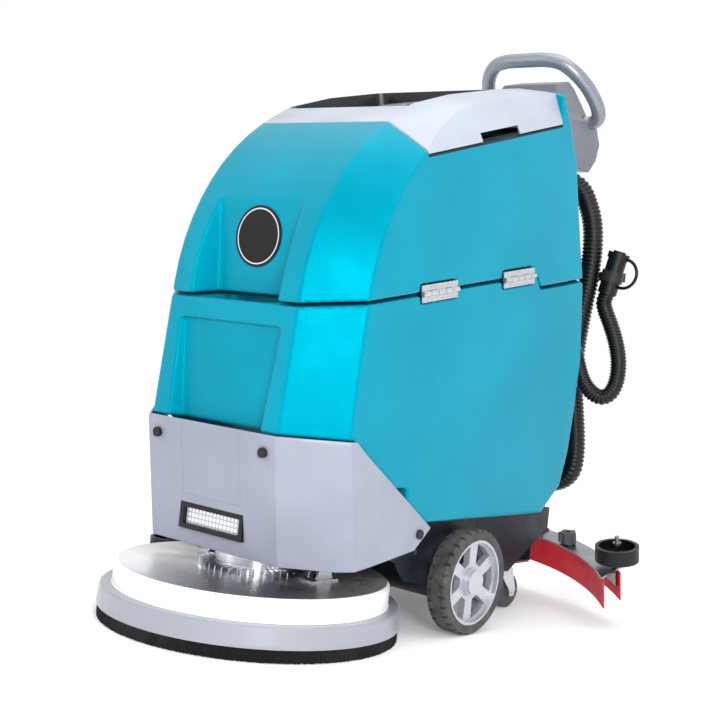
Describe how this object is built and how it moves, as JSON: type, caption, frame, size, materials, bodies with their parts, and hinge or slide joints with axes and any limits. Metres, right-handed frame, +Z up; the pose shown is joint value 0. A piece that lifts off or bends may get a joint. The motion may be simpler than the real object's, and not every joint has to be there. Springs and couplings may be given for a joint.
{
  "type": "walk-behind wet dry floor scrubber",
  "caption": "Walk-behind floor scrubbing machine with a disc brush deck in front, two stacked moulded tanks, drive wheels, a rear squeegee and a raised push handle.",
  "frame": {"origin": "on the floor under the middle of the machine's bounding box, hoses left out", "axes": "+Z up, -Y to the front where the brush is, +X to the machine's side with the tank hinge; metres"},
  "size_m": [0.814, 1.171, 1.2251],
  "materials": {
    "chassis_paint": "satin",
    "drive_black": "satin",
    "battery_case": "matte",
    "motor_grey": "satin",
    "shell_teal": "gloss",
    "lid_grey": "satin",
    "cover_grey": "satin",
    "console_grey": "satin",
    "black_plastic": "satin",
    "lamp_white": "gloss",
    "clear_window": "gloss",
    "handle_metal": "satin",
    "galvanised": "satin",
    "bright_steel": "polished",
    "tyre_grey": "matte",
    "hub_silver": "gloss",
    "caster_rubber": "matte",
    "deck_shell": "gloss",
    "bristle_black": "matte",
    "brush_disc": "matte",
    "blade_red": "matte",
    "roller_black": "matte",
    "squeegee_steel": "satin",
    "knob_grey": "matte",
    "hose_black": "satin",
    "float_orange": "gloss",
    "float_white": "matte",
    "button_green": "gloss",
    "button_blue": "gloss",
    "badge_black": "gloss"
  },
  "bodies": {
    "chassis": {"chassis_frame": "chassis_paint", "drive_axle": "drive_black", "battery_left": "battery_case", "battery_right": "battery_case", "vacuum_motor": "motor_grey", "solution_tank": "shell_teal", "filler_strainer": "black_plastic", "front_cover": "cover_grey", "light_frame": "black_plastic", "light_lens": "lamp_white", "cover_screws": "drive_black", "rear_column": "console_grey", "console_body": "console_grey", "console_panel": "black_plastic", "handle_tube": "handle_metal", "hose_hanger": "drive_black", "tank_hinge_lower": "galvanised", "tank_hinge_pins": "galvanised", "caster_plates": "galvanised", "suction_hose": "hose_black", "hose_cuffs": "hose_black", "drain_hose": "hose_black", "drain_cuff": "hose_black", "drain_cap": "hose_black", "drain_strap": "hose_black"},
    "recovery": {"recovery_tank": "shell_teal", "tank_badge": "badge_black", "tank_hinge_upper": "galvanised", "float_cage": "float_white", "lid_hinge_pin": "galvanised"},
    "lid": {"tank_lid": "lid_grey", "lid_window": "clear_window"},
    "float": {"float_ball": "float_orange"},
    "wheel_left": {"tyre_left": "tyre_grey", "hub_left": "hub_silver"},
    "wheel_right": {"tyre_right": "tyre_grey", "hub_right": "hub_silver"},
    "fork_left": {"caster_fork_left": "galvanised"},
    "fork_right": {"caster_fork_right": "galvanised"},
    "roll_left": {"caster_wheel_left": "caster_rubber"},
    "roll_right": {"caster_wheel_right": "caster_rubber"},
    "arms": {"deck_arms": "galvanised"},
    "deck": {"deck_housing": "deck_shell", "deck_skirt": "bristle_black", "deck_motor": "bright_steel", "deck_brackets": "galvanised", "roller_strap": "galvanised"},
    "brush": {"brush_block": "brush_disc", "brush_bristles": "bristle_black"},
    "bumper": {"deck_roller": "roller_black"},
    "squeegee": {"squeegee_carrier": "chassis_paint", "squeegee_plate": "squeegee_steel", "squeegee_blade_front": "blade_red", "squeegee_blade_rear": "blade_red", "squeegee_knobs": "knob_grey"},
    "guide_left": {"squeegee_roller_left": "roller_black"},
    "guide_right": {"squeegee_roller_right": "roller_black"},
    "key": {"key_switch": "bright_steel"},
    "button_a": {"button_brush": "button_green"},
    "button_b": {"button_vacuum": "button_blue"}
  },
  "joints": [
    {"name": "tank_tilt", "type": "hinge", "parent": "chassis", "child": "recovery", "pos_m": [0.247, -0.1425, 0.65401], "axis": [0, 0.9833, 0.1822], "range_deg": [0, 45]},
    {"name": "lid_lift", "type": "hinge", "parent": "recovery", "child": "lid", "pos_m": [-0.247, -0.1325, 0.91988], "axis": [0, -0.9588, -0.284], "range_deg": [0, 100]},
    {"name": "float_rise", "type": "slide", "parent": "recovery", "child": "float", "axis": [0, 0, 1], "range_m": [0, 0.047]},
    {"name": "wheel_left_turn", "type": "hinge", "parent": "chassis", "child": "wheel_left", "pos_m": [0.2485, 0.0395, 0.103], "axis": [1, 0, 0], "continuous": true},
    {"name": "caster_left_swivel", "type": "hinge", "parent": "chassis", "child": "fork_left", "pos_m": [0.15, 0.3075, 0.09], "axis": [0, 0, 1], "continuous": true},
    {"name": "caster_left_roll", "type": "hinge", "parent": "fork_left", "child": "roll_left", "pos_m": [0.15, 0.3395, 0.037], "axis": [1, 0, 0], "continuous": true},
    {"name": "guide_left_turn", "type": "hinge", "parent": "squeegee", "child": "guide_left", "pos_m": [0.361, 0.42856, 0.1528], "axis": [0, -0.225, 0.9744], "continuous": true},
    {"name": "wheel_right_turn", "type": "hinge", "parent": "chassis", "child": "wheel_right", "pos_m": [-0.2485, 0.0395, 0.103], "axis": [1, 0, 0], "continuous": true},
    {"name": "caster_right_swivel", "type": "hinge", "parent": "chassis", "child": "fork_right", "pos_m": [-0.15, 0.3075, 0.09], "axis": [0, 0, 1], "continuous": true},
    {"name": "caster_right_roll", "type": "hinge", "parent": "fork_right", "child": "roll_right", "pos_m": [-0.15, 0.3395, 0.037], "axis": [1, 0, 0], "continuous": true},
    {"name": "guide_right_turn", "type": "hinge", "parent": "squeegee", "child": "guide_right", "pos_m": [-0.361, 0.42856, 0.1528], "axis": [0, -0.225, 0.9744], "continuous": true},
    {"name": "deck_lift", "type": "hinge", "parent": "chassis", "child": "arms", "pos_m": [0, -0.0775, 0.158], "axis": [-1, 0, 0], "range_deg": [0, 9]},
    {"name": "deck_level", "type": "hinge", "parent": "arms", "child": "deck", "pos_m": [0, -0.2625, 0.136], "axis": [-1, 0, 0], "range_deg": [-9, 0]},
    {"name": "brush_spin", "type": "hinge", "parent": "deck", "child": "brush", "pos_m": [0, -0.3025, 0.05], "axis": [0, 0, 1], "continuous": true},
    {"name": "bumper_turn", "type": "hinge", "parent": "deck", "child": "bumper", "pos_m": [-0.3, -0.2405, 0.092], "axis": [0, 0, 1], "continuous": true},
    {"name": "squeegee_lower", "type": "hinge", "parent": "chassis", "child": "squeegee", "pos_m": [0, 0.1675, 0.15], "axis": [-1, 0, 0], "range_deg": [0, 13]},
    {"name": "key_turn", "type": "hinge", "parent": "chassis", "child": "key", "pos_m": [-0.034, 0.55602, 1.11713], "axis": [0, 0.9191, 0.3939], "range_deg": [0, 90]},
    {"name": "button_a_press", "type": "slide", "parent": "chassis", "child": "button_a", "axis": [0, -0.9191, -0.3939], "range_m": [0, 0.002], "stiffness_N_per_m": 600},
    {"name": "button_b_press", "type": "slide", "parent": "chassis", "child": "button_b", "axis": [0, -0.9191, -0.3939], "range_m": [0, 0.002], "stiffness_N_per_m": 600}
  ],
  "couplings": [
    {"joint": "deck_level", "follows": "deck_lift", "ratio": -1}
  ]
}
